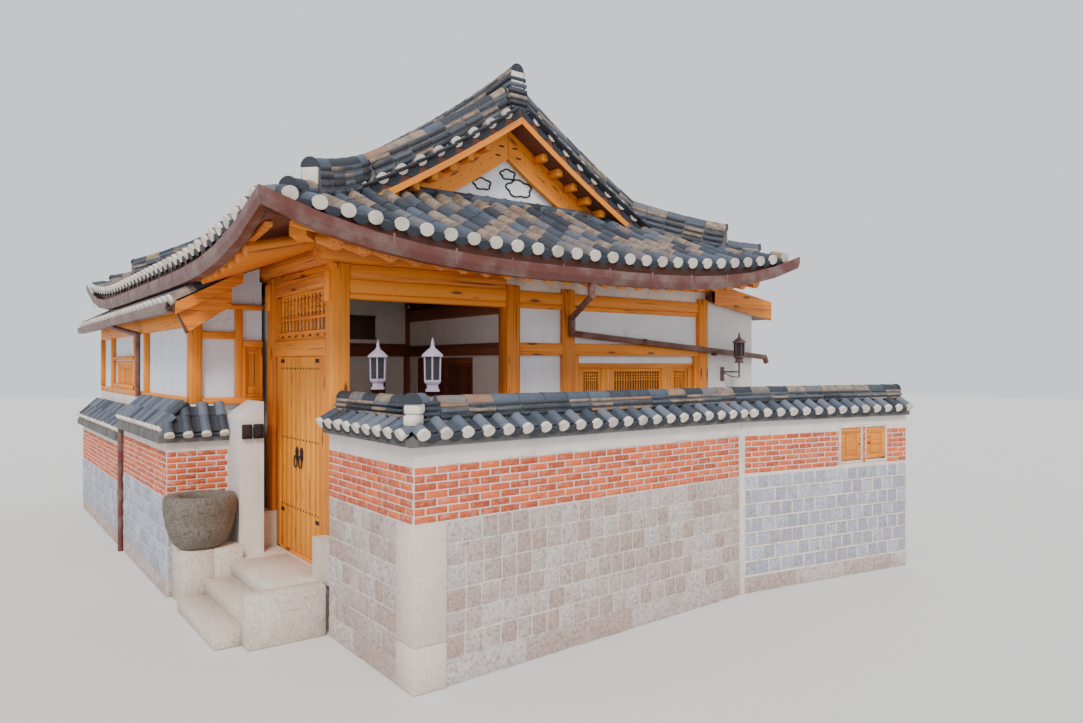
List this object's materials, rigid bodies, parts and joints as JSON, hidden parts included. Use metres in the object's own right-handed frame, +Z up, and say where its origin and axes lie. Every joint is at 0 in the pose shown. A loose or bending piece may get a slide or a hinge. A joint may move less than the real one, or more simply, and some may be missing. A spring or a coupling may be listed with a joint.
{
  "type": "hanok house",
  "caption": "Walled corner timber house with a hip-and-gable clay tile roof, plank gate, lean-to wing on a brick and stone base, and a tile-capped garden wall",
  "frame": {"origin": "centre of the footprint's bounding box, at the lowest ground under the walls", "axes": "+X runs along the street wall to the right, +Y runs from the street to the back of the house, +Z is up"},
  "size_m": [7.7998, 11.2786, 6.11],
  "materials": {
    "pine": "oiled round and squared pine, knotty",
    "shaded_pine": "pine in the porch shade",
    "lattice_pine": "lattice windows over pale paper",
    "plaster": "white lime plaster",
    "roof_tile": "blue-grey fired clay roof tile",
    "masonry": "squared granite below orange brick",
    "step_stone": "light beige dressed granite",
    "basin_stone": "dark weathered stone",
    "gutter_metal": "reddish brown painted sheet",
    "lantern_metal": "lilac grey painted cast lantern"
  },
  "bodies": {
    "house": {"roof_left": "roof_tile", "roof_right": "roof_tile", "roof_front_skirt": "roof_tile", "roof_back_skirt": "roof_tile", "ridge_front_left": "roof_tile", "ridge_front_right": "roof_tile", "ridge_back_left": "roof_tile", "ridge_back_right": "roof_tile", "main_ridge": "roof_tile", "gable_wall_front": "plaster", "gable_boards_front": "pine", "gable_wall_back": "plaster", "gable_boards_back": "pine", "rafters_front": "pine", "rafters_back": "pine", "rafters_left": "pine", "rafters_right": "pine", "roof_gutter": "gutter_metal", "wing_gutter": "gutter_metal", "downpipe_wall": "gutter_metal", "east_wall": "masonry", "corner_wall": "masonry", "wall_coping": "roof_tile", "wing_base_wall": "masonry", "wing_coping": "roof_tile", "gate_pier": "plaster", "gate_steps": "step_stone", "basin_plinth": "step_stone", "stone_basin": "basin_stone", "post_stone_right": "step_stone", "post_stone_left": "step_stone", "gate_frame": "pine", "gate_transom": "lattice_pine", "front_frame": "pine", "front_panel": "plaster", "window_wall": "plaster", "front_window": "lattice_pine", "right_wall": "plaster", "right_window": "lattice_pine", "back_wall": "plaster", "back_window": "lattice_pine", "rear_frame": "pine", "hall_frame": "shaded_pine", "hall_side_wall": "plaster", "hall_door": "shaded_pine", "hall_back_wall": "plaster", "wing_panels": "plaster", "wing_window_side": "lattice_pine", "wing_frame": "pine", "wing_roof": "roof_tile", "side_room_wall": "plaster", "side_roof": "pine", "house_base": "step_stone", "lantern_gate": "lantern_metal", "lantern_corner": "lantern_metal", "lantern_side": "lantern_metal"},
    "left_leaf": {"gate_leaf_left": "pine"},
    "right_leaf": {"gate_leaf_right": "pine"},
    "left_hatch": {"meter_hatch_left": "pine"},
    "right_hatch": {"meter_hatch_right": "pine"}
  },
  "joints": [
    {"name": "gate_left_hinge", "type": "hinge", "parent": "house", "child": "left_leaf", "pos_m": [-2.6263, -1.8167, 0.46], "axis": [0, 0, 1], "range_deg": [0, 95]},
    {"name": "gate_right_hinge", "type": "hinge", "parent": "house", "child": "right_leaf", "pos_m": [-2.6263, -2.9547, 0.46], "axis": [0, 0, -1], "range_deg": [0, 95]},
    {"name": "left_hatch_hinge", "type": "hinge", "parent": "house", "child": "left_hatch", "pos_m": [2.71073, -5.33887, 1.34], "axis": [0, 0, -1], "range_deg": [0, 100]},
    {"name": "right_hatch_hinge", "type": "hinge", "parent": "house", "child": "right_hatch", "pos_m": [3.44046, -5.44902, 1.34], "axis": [0, 0, 1], "range_deg": [0, 100]}
  ]
}
